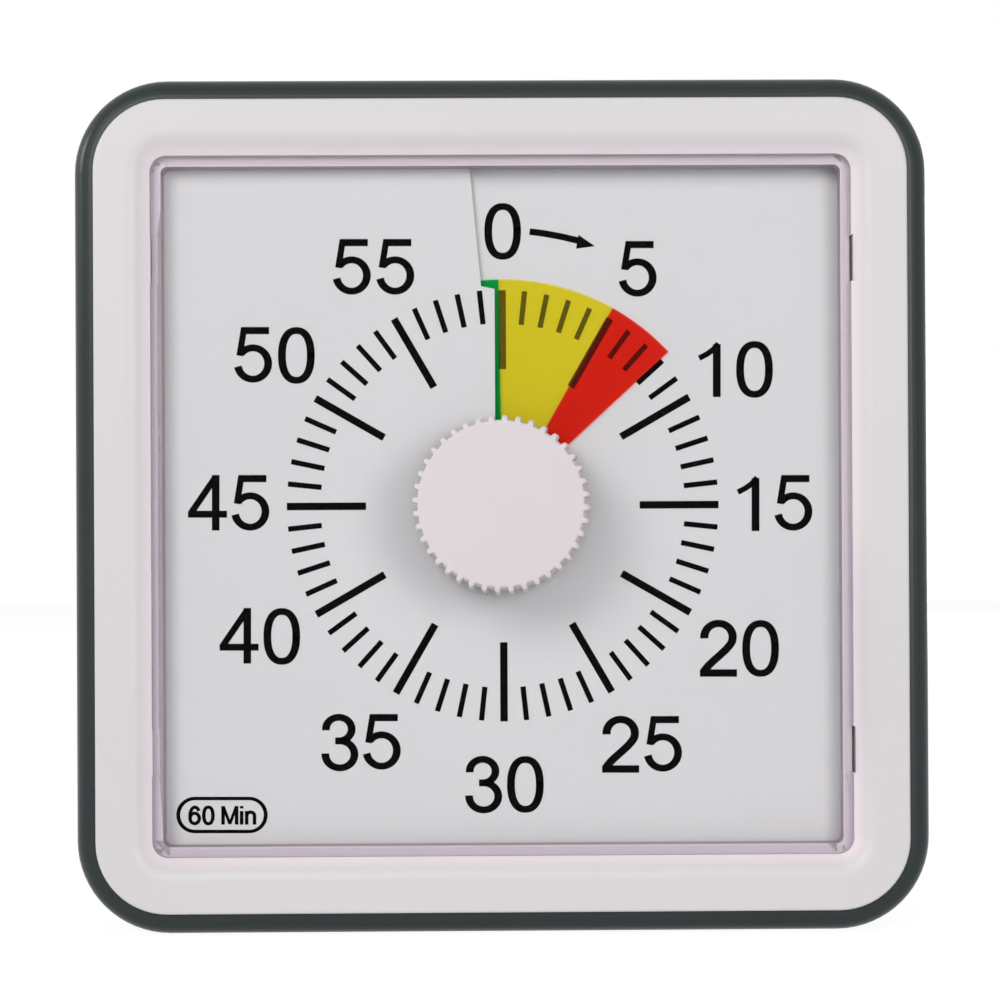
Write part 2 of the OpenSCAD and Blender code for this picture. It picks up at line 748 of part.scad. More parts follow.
module rear_housing() {
    lug_l = 4;
    color(charcoal) difference() {
        union() {
            round_the_case() case_profile();
            block(2 * corner_c, 2 * corner_c, 0, case_wall);
            at_pillars() cylinder(r = boss_r, h = boss_top);
            pocket(0, pocket_z + pocket_wall, pocket_wall);
            for (x = [-1, 1]) translate([x * (pocket_half_w + lug_l / 2), hinge_y, 0]) block(lug_l, 7, 0, pocket_z + pocket_wall);
            at_cell() block(2 * (bay_half_l + bay_wall), 2 * (bay_half_h + bay_wall), 0, bay_top + bay_wall);
            at_posts() cylinder(r = post_r, h = board_low);
            translate([buzzer_x, buzzer_y, 0]) cylinder(r = buzzer_r + 2.2, h = case_wall + 3);
        }
        at_pillars() {
            translate([0, 0, -cut]) cylinder(r = well_r, h = boss_head_seat + cut);
            cylinder(r = screw_r + 0.2, h = boss_top + cut);
        }
        pocket(-cut, pocket_z);
        translate([-pocket_half_w - lug_l + 1, hinge_y, hinge_z]) rotate([0, 90, 0])
            cylinder(r = pin_r, h = 2 * (pocket_half_w + lug_l - 1));
        at_cell() {
            block(2 * bay_half_l, 2 * bay_half_h, -cut, bay_top);
            block(2 * (door_half_l + door_gap), 2 * (door_half_h + door_gap), -cut, door_t + 0.05);
        }
        for (x = [-1, 1]) translate([x * door_half_l * 0.6 - lip_w / 2 - door_gap, door_hinge_y - 0.5, door_t / 2])
            cube([lip_w + 2 * door_gap, 0.5 + door_t / 2 + lip_t + 0.3, door_t / 2 + 2]);
        keyhole(-cut, case_wall + cut);
        translate([switch_x, switch_y, 0]) {
            block(5, 5 + 2 * slider_travel, -cut, case_wall + cut);
            block(11, 11 + 2 * slider_travel, -cut, 0.9);
        }
        at_posts() translate([0, 0, board_low - pilot_depth + 2]) cylinder(r = 0.9, h = pilot_depth);
        translate([buzzer_x, buzzer_y, 0]) {
            translate([0, 0, case_wall]) cylinder(r = buzzer_r + seat_gap, h = 3 + cut);
            translate([0, 0, -cut]) cylinder(r = sound_hole_r, h = case_wall + 2 * cut);
            for (a = [0:60:300]) rotate(a) translate([sound_ring_r, 0, -cut]) cylinder(r = sound_hole_r, h = case_wall + 2 * cut);
        }
    }
}

module case_screws() {
    color("#9a9da0") at_pillars() screw(boss_head_seat, boss_top + pilot_depth - 1);
}

module battery() {
    nub_r = 2.7;
    nub_h = 1.1;
    color("#4a4d50") translate([cell_x - cell_l / 2, cell_y, cell_z]) rotate([0, 90, 0]) {
        cylinder(r = cell_r, h = cell_l - nub_h);
        translate([0, 0, cell_l - nub_h]) cylinder(r = nub_r, h = nub_h);
    }
}

// A flat spring plate on the bay's end wall, with a pip that meets the cell's nub
module battery_contact() {
    x_cell = cell_x + cell_l / 2;
    plate_t = 0.5;
    color("#c8ccd0") {
        translate([bay_half_l - plate_t / 2, cell_y, cell_z]) cube([plate_t, 11, 11], center = true);
        translate([x_cell, cell_y, cell_z]) rotate([0, 90, 0]) cylinder(r = 2, h = bay_half_l - x_cell);
    }
}

// Conical contact spring, as rings that step down in radius towards the cell
module battery_spring() {
    wire_r = 0.4;
    turns = 4;
    x_wall = -bay_half_l;
    x_cell = cell_x - cell_l / 2;
    step = (x_cell - x_wall - 0.5 - 2 * wire_r) / (turns - 1);
    color("#c8ccd0") translate([x_wall, cell_y, cell_z]) {
        translate([0.25, 0, 0]) cube([0.5, 11, 11], center = true);
        rotate([0, 90, 0]) coil_wire([for (k = [0:16 * (turns - 1)]) let (a = k * 360 / 16)
            [(5 - 0.7 * k / 16) * cos(a), (5 - 0.7 * k / 16) * sin(a), 0.5 + 0.8 * wire_r + step * k / 16]], wire_r);
    }
}

// A round wire of six sides through a list of points on a coil about z
module coil_wire(path, r) {
    sides = 6;
    last = len(path) - 1;
    rings = [for (p = path, s = [0:sides - 1]) let (out = [p[0], p[1], 0] / norm([p[0], p[1]]), a = s * 360 / sides)
        p + r * (cos(a) * out + [0, 0, sin(a)])];
    function at(k, s) = k * sides + s % sides;
    polyhedron(rings, concat(
        [for (k = [0:last - 1], s = [0:sides - 1], f = [[at(k, s), at(k, s + 1), at(k + 1, s + 1)],
            [at(k, s), at(k + 1, s + 1), at(k + 1, s)]]) f],
        [for (s = [1:sides - 2]) [at(0, 0), at(0, s + 1), at(0, s)]],
        [for (s = [1:sides - 2]) [at(last, 0), at(last, s), at(last, s + 1)]]));
}

module battery_door() {
    color(charcoal) at_cell() {
        difference() {
            union() {
                translate([-door_half_l, -door_half_h, 0]) cube([2 * door_half_l, 2 * door_half_h - door_t / 2, door_t]);
                translate([-door_half_l, door_half_h - door_t / 2, door_t / 2]) rotate([0, 90, 0])
                    cylinder(d = door_t, h = 2 * door_half_l);
            }
            for (k = [0:3]) translate([0, -door_half_h + 3 + 1.6 * k, 0]) block(12, 0.7, -cut, 0.4);
        }
        for (x = [-1, 1]) translate([x * door_half_l * 0.6 - lip_w / 2, door_half_h - door_t / 2, door_t / 2 + 0.1])
            cube([lip_w, door_t / 2 + lip_t, door_t / 2 - 0.1]);
    }
}

module circuit_board() {
    color("#1d5c3a") difference() {
        translate([board_x, board_y, 0]) block(board_w, board_h, board_low, board_low + board_t);
        at_posts() translate([0, 0, board_low - cut]) cylinder(r = 1.2, h = board_t + 2 * cut);
    }
}

module board_screws() {
    color("#9a9da0") at_posts() {
        translate([0, 0, board_low - 4]) cylinder(r = 0.9, h = 4 + board_t);
        translate([0, 0, board_low + board_t]) cylinder(r = 1.9, h = 1.2);
    }
}

module controller_chip() {
    color("#1a1b1c") translate([board_x - 6, board_y - 5, 0]) {
        block(6, 5, board_low + board_t + 0.2, board_low + board_t + 1.7);
        for (x = [-1.5:1:1.5], y = [-1, 1]) translate([x * 1.27, y * 2.9, 0]) block(0.4, 1.2, board_low + board_t, board_low + board_t + 0.5);
    }
}

module crystal() {
    color("#c8ccd0") translate([board_x + 7, board_y - 5, board_low + board_t + 1.5]) rotate([0, 90, 0])
        translate([0, 0, -3]) cylinder(r = 1.5, h = 6);
}

module switch_body() {
    color("#303234") translate([switch_x, switch_y, 0]) difference() {
        block(8, 7 + 2 * slider_travel, switch_low, switch_low + switch_t);
        block(3.2, 3 + 2 * slider_travel + 0.4, switch_low - cut, switch_low + 2.2);
    }
}

module switch_slider() {
    color(white) translate([switch_x, switch_y, 0]) {
        block(4.4, 4.4, 0.3, case_wall + 0.2);
        block(7, 7, case_wall + 0.2, switch_low - 0.3);
        block(2.8, 3, switch_low - 0.4, switch_low + 2);
    }
}

module buzzer_disc() {
    color("#c9a64a") translate([buzzer_x, buzzer_y, case_wall + 2.2]) cylinder(r = buzzer_r, h = buzzer_t);
}

module buzzer_cup() {
    color("#303234") translate([buzzer_x, buzzer_y, 0]) tube(buzzer_r, buzzer_r - 1.2, case_wall, case_wall + 2.2);
}

module stand_pin() {
    l = 2 * (pocket_half_w + 3) - 0.4;
    color("#c8ccd0") translate([-l / 2, hinge_y, hinge_z]) rotate([0, 90, 0]) cylinder(r = pin_r, h = l);
}

module stand() {
    color(charcoal) difference() {
        union() {
            translate([-stand_w / 2, hinge_y - stand_l, stand_back]) cube([stand_w, stand_l, stand_t]);
            translate([-stand_w / 2, hinge_y, hinge_z]) rotate([0, 90, 0]) cylinder(r = barrel_r, h = stand_w);
        }
        translate([-stand_w / 2 - cut, hinge_y, hinge_z]) rotate([0, 90, 0]) cylinder(r = pin_r + run_gap, h = stand_w + 2 * cut);
        translate([0, hinge_y - stand_l, stand_back - cut]) cylinder(r = 8, h = stand_t + 2 * cut);
        translate([-stand_w / 2 + 6, hinge_y - stand_l + 14, stand_back + 1.2]) cube([stand_w - 12, stand_l - 22, stand_t]);
    }
}

stand_up() front_bezel();
stand_up() window();
stand_up() dial_card();
stand_up() card_carrier();
stand_up() dial_chassis();
stand_up() chassis_screws();
stand_up() rear_housing();
stand_up() case_screws();
stand_up() movement_base();
stand_up() movement_cover();
stand_up() centre_bush();
stand_up() mounting_nut();
stand_up() coil_bobbin();
stand_up() coil_winding();
stand_up() stator();
stand_up() battery();
stand_up() battery_spring();
stand_up() battery_contact();
stand_up() circuit_board();
stand_up() controller_chip();
stand_up() crystal();
stand_up() switch_body();
stand_up() board_screws();
stand_up() buzzer_cup();
stand_up() buzzer_disc();
stand_up() stand_pin();
stand_up() knob();
stand_up() spindle();
stand_up() clutch_spring();
stand_up() disc_hub();
stand_up() time_disc();
stand_up() centre_wheel();
stand_up() third_wheel();
stand_up() second_wheel();
stand_up() rotor_pinion();
stand_up() rotor_magnet();
stand_up() switch_slider();
stand_up() stand();
stand_up() battery_door();
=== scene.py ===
# %% [markdown]
# # A visual countdown timer, dressed for its picture
# The imported model gives every moulding its true size and place. This script only adds looks: a
# finish for each material, the print on the dial, the coloured film and a smooth knob. It also
# sets the lamps and the camera. The first cell loads the model and keeps its box, which later sets
# the floor's height.

import json
from math import asin, atan2, copysign, cos, degrees, hypot, pi, radians, sin, sqrt, tan

import bmesh
import bpy
from mathutils import Matrix, Vector


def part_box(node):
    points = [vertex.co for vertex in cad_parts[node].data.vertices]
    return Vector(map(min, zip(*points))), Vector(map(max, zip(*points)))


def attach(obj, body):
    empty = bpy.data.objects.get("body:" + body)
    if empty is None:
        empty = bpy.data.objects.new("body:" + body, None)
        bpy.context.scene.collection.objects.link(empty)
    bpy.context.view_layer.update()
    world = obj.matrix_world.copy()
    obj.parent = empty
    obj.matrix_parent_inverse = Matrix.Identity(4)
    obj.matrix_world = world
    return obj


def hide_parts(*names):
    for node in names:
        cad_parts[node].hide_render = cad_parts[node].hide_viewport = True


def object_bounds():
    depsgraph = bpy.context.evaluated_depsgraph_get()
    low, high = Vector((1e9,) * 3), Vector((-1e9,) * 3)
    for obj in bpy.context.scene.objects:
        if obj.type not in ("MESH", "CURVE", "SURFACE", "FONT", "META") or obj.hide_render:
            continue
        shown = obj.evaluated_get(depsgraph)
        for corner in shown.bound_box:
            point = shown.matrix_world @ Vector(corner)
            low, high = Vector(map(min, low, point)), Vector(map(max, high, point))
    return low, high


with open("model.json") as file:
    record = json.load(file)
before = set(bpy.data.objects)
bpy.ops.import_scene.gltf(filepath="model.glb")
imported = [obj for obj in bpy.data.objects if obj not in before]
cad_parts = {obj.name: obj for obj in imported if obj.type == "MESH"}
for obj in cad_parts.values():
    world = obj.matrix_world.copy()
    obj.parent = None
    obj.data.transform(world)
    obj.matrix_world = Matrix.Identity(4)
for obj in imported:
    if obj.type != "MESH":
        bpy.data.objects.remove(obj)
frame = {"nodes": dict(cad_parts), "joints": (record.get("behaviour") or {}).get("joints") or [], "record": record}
cad_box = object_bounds()
print("nodes:", len(frame["nodes"]))

# %% [markdown]
# ## The dial's own frame
# It is easier to draw a dial lying flat than standing up, so every new piece is drawn with x to
# the right, y up and z towards the reader, in metres, and is stood up once at the end. Angles run
# clockwise from the top, as the minutes do. The places come from the model's nodes.

# %% Stand pieces up, and measure the model
MM = 0.001
joint_at = {j["name"]: Vector(j.get("pos_m", (0, 0, 0))) for j in frame["joints"]}
axis = joint_at["dial_turn"]
back_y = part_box("rear_housing")[1].y
stand_up = Matrix.Translation((axis.x, back_y, axis.z)) @ Matrix.Rotation(radians(90), 4, "X")


def heights(node):
    """Lowest and highest z of a node in the dial's frame."""
    low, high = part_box(node)
    return back_y - high.y, back_y - low.y


card_low, card_high = heights("dial_card")
film_low, film_high = heights("time_disc")
knob_low, knob_high = heights("knob")
window_high = heights("window")[1]
print("card %.2f to %.2f mm, film %.2f to %.2f mm" % tuple(
    v / MM for v in (card_low, card_high, film_low, film_high)))

# %% [markdown]
# ## Camera
# The camera stands half a metre in front of the dial. Its place, lens and shift were fitted to the
# picture's edges, so the timer fills the frame as it does there. It comes first because the print
# on the dial is measured in the picture: a ray from the camera through a pixel finds the point of
# the card that the pixel shows.

# %% Camera, and the point of the dial behind a pixel
PICTURE = 1000             # width and height of the picture, in pixels
camera_data = bpy.data.cameras.new("camera")
camera_data.sensor_width = 36
camera_data.lens = 85.08
camera_data.shift_x = -0.0527
camera_data.shift_y = 0.0358
camera = bpy.data.objects.new("camera", camera_data)
camera_place = (Matrix.Translation((0.00612, -0.52996, 0.08590))
                @ Matrix.Rotation(-0.00965, 4, "Z") @ Matrix.Rotation(0.00423, 4, "X")
                @ Matrix.Rotation(radians(90), 4, "X") @ Matrix.Rotation(-0.00504, 4, "Z"))
camera.matrix_world = camera_place
bpy.context.scene.collection.objects.link(camera)
bpy.context.scene.camera = camera
bpy.context.scene.view_settings.view_transform = "Standard"


def behind_pixel(px, py, height):
    """The point (x, y) of the dial at a height that a pixel of the picture shows."""
    focal = camera_data.lens / camera_data.sensor_width
    ray = Vector(((px / PICTURE - 0.5 + camera_data.shift_x) / focal,
                  (0.5 - py / PICTURE + camera_data.shift_y) / focal, -1))
    to_dial = stand_up.inverted() @ camera_place
    start, way = to_dial.translation, to_dial.to_3x3() @ ray
    point = start + way * (height - start.z) / way.z
    return point.x, point.y


DIAL_PIXEL = (503, 505.5)  # pixel of the dial's axis
print("the dial behind that pixel, in mm:",
      [round(v / MM, 2) for v in behind_pixel(*DIAL_PIXEL, film_low)])

# %% [markdown]
# ## Colours and shader nodes
# Colours are written as hex, the way a paint or plastic swatch is. Shaders work in linear light,
# so one function turns a hex colour into linear values. One more function adds a shader node with
# its settings and its links, which keeps each material to a few lines.

# %% Helpers for colours and nodes
def colour(code):
    """A hex colour as linear red, green, blue and alpha."""
    parts = [int(code[i:i + 2], 16) / 255 for i in (1, 3, 5)]
    return [c / 12.92 if c <= 0.04045 else ((c + 0.055) / 1.055) ** 2.4 for c in parts] + [1]


def add_node(material, kind, settings=None, links=None):
    """Adds a shader node. settings are its sockets' values or its own options, links its inputs."""
    node = material.node_tree.nodes.new(kind)
    for name, value in (settings or {}).items():
        if isinstance(name, int) or name in node.inputs:
            node.inputs[name].default_value = value
        else:
            setattr(node, name, value)
    for name, socket in (links or {}).items():
        material.node_tree.links.new(socket, node.inputs[name])
    return node


def new_material(name):
    """An empty material, and the socket of its Object coordinates."""
    material = bpy.data.materials.new(name)
    material.use_nodes = True
    material.node_tree.nodes.clear()
    where = add_node(material, "ShaderNodeTexCoord").outputs["Object"]
    return material, where


def output(material, shader):
    """Ends a material: the shader goes to its surface."""
    add_node(material, "ShaderNodeOutputMaterial", links={"Surface": shader})
    return material


# %% [markdown]
# ## Moulded plastic
# The case and the bezel are injection-moulded ABS. A mould with a fine spark-eroded surface gives
# a soft satin face: it isn't a mirror, and its tiny grain breaks the highlights up. A noise of a
# few tenths of a millimetre drives the bump and the gloss, and a much broader one lets the shade
# drift a little, as a real moulding's does.

# %% A function for every moulded finish
def moulded(name, base, second, roughness, grain=0.35 * MM, bump=0.05, drift=25 * MM, coat=0.0,
            sheen_level=0.5):
    """Moulded plastic: grain is the size of the mould's texture, drift that of its shade. coat is a
    layer of clear gloss, and sheen_level the strength of the plain reflection."""
    m, where = new_material(name)
    broad = add_node(m, "ShaderNodeTexNoise", {"Scale": 1 / drift, "Detail": 2.0}, {"Vector": where})
    fine = add_node(m, "ShaderNodeTexNoise", {"Scale": 1 / grain, "Detail": 2.0}, {"Vector": where})
    shade = add_node(m, "ShaderNodeMix", {"data_type": "RGBA", 6: colour(base), 7: colour(second)},
                     {0: broad.outputs["Fac"]})
    gloss = add_node(m, "ShaderNodeMapRange", {"To Min": roughness - 0.04, "To Max": roughness + 0.04},
                     {"Value": fine.outputs["Fac"]})
    relief = add_node(m, "ShaderNodeBump", {"Strength": bump, "Distance": 0.02 * MM},
                      {"Height": fine.outputs["Fac"]})
    plastic = add_node(m, "ShaderNodeBsdfPrincipled",
                       {"IOR": 1.5, "Coat Weight": coat, "Specular IOR Level": sheen_level},
                       {"Base Color": shade.outputs[2], "Roughness": gloss.outputs[0],
                        "Normal": relief.outputs[0]})
    return output(m, plastic.outputs[0])


white_abs = moulded("white ABS, satin moulded", "#DCD9D9", "#D9D5D6", 0.42)
knob_abs = moulded("white ABS, matt moulded", "#E2D9DC", "#DFD6D9", 0.55, bump=0.1)
charcoal_abs = moulded("charcoal ABS, satin moulded", "#2A3131", "#2E3535", 0.3, bump=0.12,
                       sheen_level=0.22)
black_abs = moulded("black ABS, gloss moulded", "#141515", "#1A1B1B", 0.3)
acetal = moulded("natural acetal, moulded", "#E9E7DF", "#E2DFD4", 0.38)
print("mouldings:", white_abs.name, "and four more")

# %% [markdown]
# ## The bezel's white, with painted light and shade
# The bezel is the same white ABS, but its colour carries painted light. The slope towards the
# window is painted lighter and faintly pink, the ledge that carries the window gets painted shade,
# with a painted highlight on its inner edge, and the wall of the dial well inside is painted
# darker as shade. These painted tones change with the depth and with the distance from the dial's
# middle, so both are read from the Object coordinates.

# %% Bezel
face_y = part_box("front_bezel")[0].y
WINDOW_T = 2 * MM          # thickness of the window
SLOPE_DROP = 2.5 * MM      # from the bezel's face to the window
WELL_HALF = 75.75 * MM     # half the width of the dial well
EDGE_W = 0.45 * MM         # width of the ledge's lighter edge
ledge_y = face_y + SLOPE_DROP + WINDOW_T
BEZEL_GRAIN = 0.35 * MM    # size of the mould's texture


def bezel_white(name, flat, slope, ledge, ledge_edge_painted_highlight, well_painted_shade):
    """White plastic with painted light and shade that follow the bezel's form, into the dial's recess."""
    m, where = new_material(name)
    fine = add_node(m, "ShaderNodeTexNoise", {"Scale": 1 / BEZEL_GRAIN, "Detail": 2.0}, {"Vector": where})
    middle = add_node(m, "ShaderNodeMapping", {"Location": -axis}, {"Vector": where})
    place = add_node(m, "ShaderNodeSeparateXYZ", links={0: middle.outputs[0]})
    depth = place.outputs["Y"]
    across = add_node(m, "ShaderNodeMath", {"operation": "ABSOLUTE"}, {0: place.outputs["X"]})
    up = add_node(m, "ShaderNodeMath", {"operation": "ABSOLUTE"}, {0: place.outputs["Z"]})
    reach = add_node(m, "ShaderNodeMath", {"operation": "MAXIMUM"},
                     {0: across.outputs[0], 1: up.outputs[0]})
    on_slope = add_node(m, "ShaderNodeMapRange", {
        "From Min": face_y - axis.y + 0.1 * MM, "From Max": face_y - axis.y + SLOPE_DROP,
        "interpolation_type": "SMOOTHSTEP"}, {"Value": depth})
    in_pocket = add_node(m, "ShaderNodeMapRange", {
        "From Min": face_y - axis.y + SLOPE_DROP + 0.05 * MM,
        "From Max": face_y - axis.y + SLOPE_DROP + 0.2 * MM}, {"Value": depth})
    in_well = add_node(m, "ShaderNodeMapRange", {
        "From Min": ledge_y - axis.y + 0.05 * MM,
        "From Max": ledge_y - axis.y + 0.25 * MM}, {"Value": depth})
    at_edge = add_node(m, "ShaderNodeMapRange", {
        "From Min": WELL_HALF + EDGE_W,
        "From Max": WELL_HALF + EDGE_W / 2}, {"Value": reach.outputs[0]})
    painted_highlight_mask = add_node(m, "ShaderNodeMath", {"operation": "MULTIPLY"},
                   {0: at_edge.outputs[0], 1: in_pocket.outputs[0]})
    shade = None
    # Painted light: lighter pink slope, highlight on the ledge's edge; painted shade: ledge, well wall.
    for other, mask in ((slope, on_slope), (ledge, in_pocket), (ledge_edge_painted_highlight, painted_highlight_mask), (well_painted_shade, in_well)):
        mix = add_node(m, "ShaderNodeMix", {"data_type": "RGBA", 6: colour(flat), 7: colour(other)},
                       {0: mask.outputs[0]})
        if shade:
            m.node_tree.links.new(shade.outputs[2], mix.inputs[6])
        shade = mix
    gloss = add_node(m, "ShaderNodeMapRange", {"To Min": 0.38, "To Max": 0.46},
                     {"Value": fine.outputs["Fac"]})
    relief = add_node(m, "ShaderNodeBump", {"Strength": 0.05, "Distance": 0.02 * MM},
                      {"Height": fine.outputs["Fac"]})
    plastic = add_node(m, "ShaderNodeBsdfPrincipled", {"IOR": 1.5},
                       {"Base Color": shade.outputs[2], "Roughness": gloss.outputs[0],
                        "Normal": relief.outputs[0]})
    return output(m, plastic.outputs[0])


# Painted light: slope lighter and pink, ledge edge a highlight; painted shade: ledge and well wall.
bezel_abs_painted_light = bezel_white("white ABS, bezel, painted light and shade", "#DDD9DA", "#F0E3E7", "#D3C8CE", "#DDD2D8", "#AE9AA1")
print("ledge of the window at y = %.2f mm" % (ledge_y / MM))

# %% [markdown]
# ## Metals
# Screws and springs are steel with a zinc or nickel coat, and the bushes are turned brass. Turned
# and rolled parts carry fine marks, so a stretched noise breaks their reflections up, and a metal
# keeps the default refraction value.

# %% A function for every metal
def metal(name, base, second, roughness, marks=0.25 * MM):
    """Metal with fine marks from rolling, turning or plating."""
    m, where = new_material(name)
    stretched = add_node(m, "ShaderNodeMapping", {"Scale": (1, 6, 1)}, {"Vector": where})
    fine = add_node(m, "ShaderNodeTexNoise", {"Scale": 1 / marks, "Detail": 3.0},
                    {"Vector": stretched.outputs[0]})
    shade = add_node(m, "ShaderNodeMix", {"data_type": "RGBA", 6: colour(base), 7: colour(second)},
                     {0: fine.outputs["Fac"]})
    gloss = add_node(m, "ShaderNodeMapRange", {"To Min": roughness - 0.06, "To Max": roughness + 0.08},
                     {"Value": fine.outputs["Fac"]})
    relief = add_node(m, "ShaderNodeBump", {"Strength": 0.1, "Distance": 0.01 * MM},
                      {"Height": fine.outputs["Fac"]})
    surface = add_node(m, "ShaderNodeBsdfPrincipled", {"Metallic": 1.0},
                       {"Base Color": shade.outputs[2], "Roughness": gloss.outputs[0],
                        "Normal": relief.outputs[0]})
    return output(m, surface.outputs[0])


zinc_steel = metal("zinc-plated steel", "#B9BCC0", "#A8ACB2", 0.3)
nickel_steel = metal("nickel-plated steel", "#CFCCC4", "#BDBAB2", 0.22)
brass = metal("turned brass", "#C9A653", "#B8923F", 0.28)
copper_wire = metal("enamelled copper wire", "#B4603A", "#8E3F22", 0.3, marks=0.12 * MM)
soft_iron = metal("soft iron, annealed", "#7F7E7A", "#6C6B68", 0.45)
print("metals:", zinc_steel.name, "and four more")

# %% [markdown]
# ## The other inner materials
# The board is glass-fibre laminate under a green lacquer, the chip is cast epoxy, the rotor's
# magnet is sintered ferrite, and the cell wears a printed plastic jacket. They use the same
# moulded recipe with their own colours, gloss and grain.

# %% Board, chip, magnet and cell
laminate = moulded("glass-fibre laminate, lacquered", "#1C5A33", "#236B3D", 0.28, grain=0.6 * MM)
chip_epoxy = moulded("cast epoxy", "#1B1B1D", "#242426", 0.5)
ferrite = moulded("sintered ferrite", "#3A393A", "#2E2D2F", 0.6, grain=0.2 * MM, bump=0.2)
cell_jacket = moulded("printed shrink jacket", "#30363C", "#3A4148", 0.25, coat=0.3)

# %% [markdown]
# ## Card, ink and film
# The dial is printed on thin white card with a faint paper tooth. The ink lies on it as a thin
# layer that is nearly black. The film disc is tinted clear plastic: most of the light passes
# through it to the card and comes back coloured, so the ticks below stay visible, and a small
# share scatters in the film itself, which lightens the ticks. So the film mixes a tinted
# transparent shader with a little of a plain coloured one.

# %% Card and ink
printed_card = moulded("coated card, printed", "#E9E8E6", "#E7E6E4", 0.5, grain=0.5 * MM, bump=0.08,
                       drift=60 * MM)
ink = moulded("black printing ink", "#060607", "#09090A", 0.6, grain=0.4 * MM, bump=0.1,
              sheen_level=0.02)


# %% Film in three colours
FILM_GRAIN = 0.8 * MM      # size of the marks in the rolled film


def film(name, through, scattered, second, share):
    """Tinted clear film. share is the part of the light that each face of the film scatters."""
    m, where = new_material(name)
    fine = add_node(m, "ShaderNodeTexNoise", {"Scale": 1 / FILM_GRAIN, "Detail": 2.0}, {"Vector": where})
    relief = add_node(m, "ShaderNodeBump", {"Strength": 0.05, "Distance": 0.02 * MM},
                      {"Height": fine.outputs["Fac"]})
    shade = add_node(m, "ShaderNodeMix", {"data_type": "RGBA", 6: colour(scattered), 7: colour(second)},
                     {0: fine.outputs["Fac"]})
    body = add_node(m, "ShaderNodeBsdfPrincipled", {"Roughness": 0.35, "IOR": 1.46},
                    {"Base Color": shade.outputs[2], "Normal": relief.outputs[0]})
    clear = add_node(m, "ShaderNodeBsdfTransparent", {"Color": colour(through)})
    both = add_node(m, "ShaderNodeMixShader", {0: share}, {1: clear.outputs[0], 2: body.outputs[0]})
    return output(m, both.outputs[0])


film_red = film("tinted film, red", "#FFA090", "#FF5030", "#FF4426", 0.06)
film_yellow = film("tinted film, yellow", "#FFFBA8", "#FFEA48", "#FFE240", 0.07)
film_green = film("tinted film, green", "#50E8B8", "#10D26C", "#0CC462", 0.08)

# %% [markdown]
# ## The clear window
# The cover is moulded clear polystyrene. In the picture the dial behind it is free of reflections,
# and it only shines when it is seen at a slant. A full glass shader would darken the dial, because
# light that passes through glass isn't sampled as direct light. So the cover mixes a transparent
# shader with a glossy one. The share of gloss is almost nothing face on and grows with the fifth
# power of the slant, as in Schlick's rule for a clear sheet. The faces of the edges sit in the
# bezel's seat and reflect nothing, so the share is scaled by how far a face looks along y.

# %% Clear cover
WAVE = 30 * MM             # length of the faint waves of a moulded sheet


def clear_cover(name, tint, roughness):
    """Clear moulded sheet: transparent, with a reflection that grows towards the edge."""
    m, where = new_material(name)
    broad = add_node(m, "ShaderNodeTexNoise", {"Scale": 1 / WAVE, "Detail": 1.0}, {"Vector": where})
    flat = add_node(m, "ShaderNodeNewGeometry")
    relief = add_node(m, "ShaderNodeBump", {"Strength": 0.02, "Distance": 0.5 * MM},
                      {"Height": broad.outputs["Fac"], "Normal": flat.outputs["True Normal"]})
    slant = add_node(m, "ShaderNodeLayerWeight", {"Blend": 0.5}, {"Normal": relief.outputs[0]})
    fifth = add_node(m, "ShaderNodeMath", {"operation": "POWER", 1: 5.0},
                     {0: slant.outputs["Facing"]})
    rising = add_node(m, "ShaderNodeMapRange", {"To Min": 0.001, "To Max": 0.8},
                      {"Value": fifth.outputs[0]})
    facing = add_node(m, "ShaderNodeSeparateXYZ", links={0: flat.outputs["True Normal"]})
    front = add_node(m, "ShaderNodeMath", {"operation": "ABSOLUTE"}, {0: facing.outputs["Y"]})
    share = add_node(m, "ShaderNodeMath", {"operation": "MULTIPLY"},
                     {0: rising.outputs[0], 1: front.outputs[0]})
    clear = add_node(m, "ShaderNodeBsdfTransparent", {"Color": colour(tint)})
    shine = add_node(m, "ShaderNodeBsdfGlossy", {"Color": colour("#F4F6F8"), "Roughness": roughness},
                     {"Normal": relief.outputs[0]})
    both = add_node(m, "ShaderNodeMixShader", links={0: share.outputs[0], 1: clear.outputs[0],
                                                     2: shine.outputs[0]})
    return output(m, both.outputs[0])


clear_window = clear_cover("clear polystyrene, moulded", "#FBFBFC", 0.06)

# %% [markdown]
# ## Finish the model's own nodes
# Most mouldings of the model already have their true shape, so they stay as they are and only get
# a finish. Each node names a material slot in the record, and each slot has one finish here. Only
# the front bezel gets the white with painted light and shade in place of the slot's plain one.

# %% A finish for each material slot
finishes = {
    "white_abs": white_abs, "white_knob_abs": knob_abs, "charcoal_abs": charcoal_abs,
    "clear_window": clear_window, "printed_card": printed_card, "colour_film": film_green,
    "zinc_steel": zinc_steel, "nickel_steel": nickel_steel, "brass": brass, "acetal": acetal,
    "black_abs": black_abs, "copper_wire": copper_wire, "soft_iron": soft_iron,
    "cell_jacket": cell_jacket, "circuit_laminate": laminate, "chip_epoxy": chip_epoxy,
    "ferrite": ferrite}
for entry in frame["record"]["subparts"]:
    node = frame["nodes"][entry["node"]]
    node.data.materials.clear()
    node.data.materials.append(finishes[entry["material_slot"]])
frame["nodes"]["front_bezel"].data.materials[0] = bezel_abs_painted_light
print("finished slots:", len(finishes))

# %% [markdown]
# ## Turning a bmesh into a piece
# Every new piece ends the same way: its doubles are merged, its faces are turned outwards, it is
# stood up into the model's frame, and it rides on a body of the model. Faces are smooth, and edges
# sharper than 30 degrees stay crisp.

